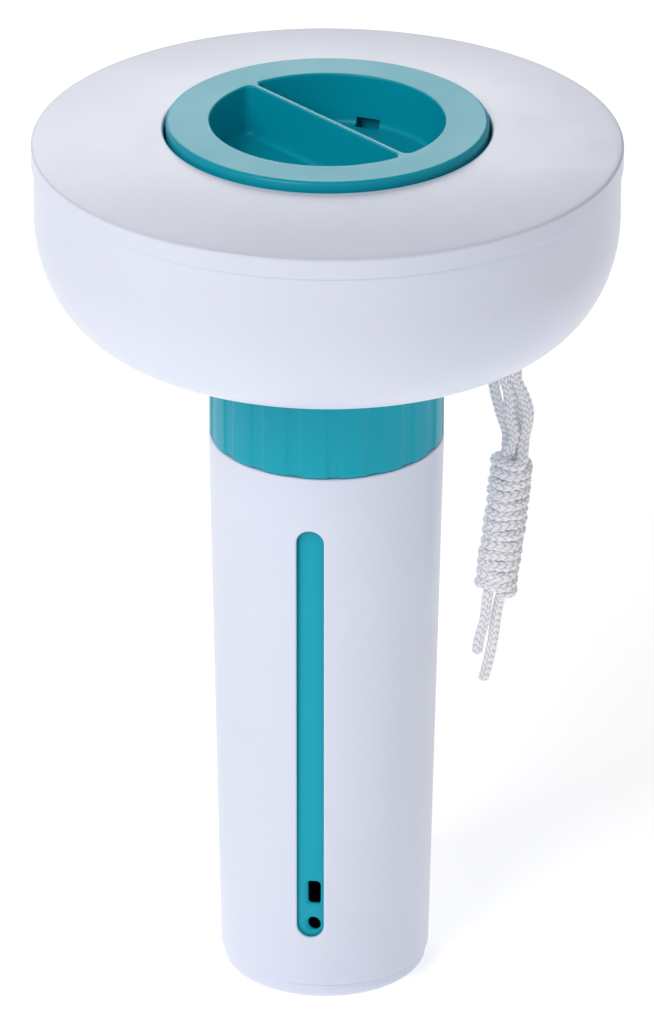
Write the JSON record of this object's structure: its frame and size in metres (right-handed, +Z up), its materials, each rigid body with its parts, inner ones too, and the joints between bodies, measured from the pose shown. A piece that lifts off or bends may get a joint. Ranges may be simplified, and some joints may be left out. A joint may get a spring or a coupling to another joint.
{
  "type": "floating chlorine dispenser",
  "caption": "Hollow round float carrying a tablet tube with a twist-off cap, a slotted sleeve that turns to set the water flow, and a braided tether wound into a hank.",
  "frame": {"origin": "centre of the flat base that the dispenser stands on", "axes": "+Z up along the tube's axis, -Y towards the front, where the flow slot faces; the tether hangs on the +X side"},
  "size_m": [0.2246, 0.2246, 0.3572],
  "materials": {
    "white_plastic": "smooth moulded, satin gloss",
    "teal_plastic": "smooth moulded, satin gloss",
    "stainless_steel": "satin",
    "black_rubber": "matt",
    "braided_cord": "braided polyester"
  },
  "bodies": {
    "float": {"float_top_cover": "white_plastic", "float_bowl": "white_plastic", "canister": "teal_plastic", "retaining_collar": "teal_plastic", "pivot_screw": "stainless_steel"},
    "seal": {"cap_seal": "black_rubber"},
    "cap": {"cap": "teal_plastic"},
    "flow_sleeve": {"flow_sleeve": "white_plastic", "sleeve_base_cap": "white_plastic", "pivot_washer": "stainless_steel"},
    "tether": {"tether_loop_front": "braided_cord", "tether_loop_back": "braided_cord", "tether_hank": "braided_cord", "tether_end_short": "braided_cord", "tether_end_long": "braided_cord"}
  },
  "joints": [
    {"name": "cap_lift", "type": "slide", "parent": "float", "child": "seal", "axis": [0, 0, 1], "range_m": [0, 0.06]},
    {"name": "cap_turn", "type": "hinge", "parent": "seal", "child": "cap", "pos_m": [0, 0, 0.34], "axis": [0, 0, 1], "range_deg": [0, 450]},
    {"name": "flow_adjust", "type": "hinge", "parent": "float", "child": "flow_sleeve", "pos_m": [0, 0, 0.1], "axis": [0, 0, 1], "range_deg": [-40, 120]},
    {"name": "tether_swing", "type": "hinge", "parent": "float", "child": "tether", "pos_m": [0.0684, 0, 0.2598], "axis": [0, -1, 0], "range_deg": [-3, 60]}
  ],
  "couplings": [
    {"joint": "cap_lift", "follows": "cap_turn", "m_per_rad": 0.0076394}
  ]
}
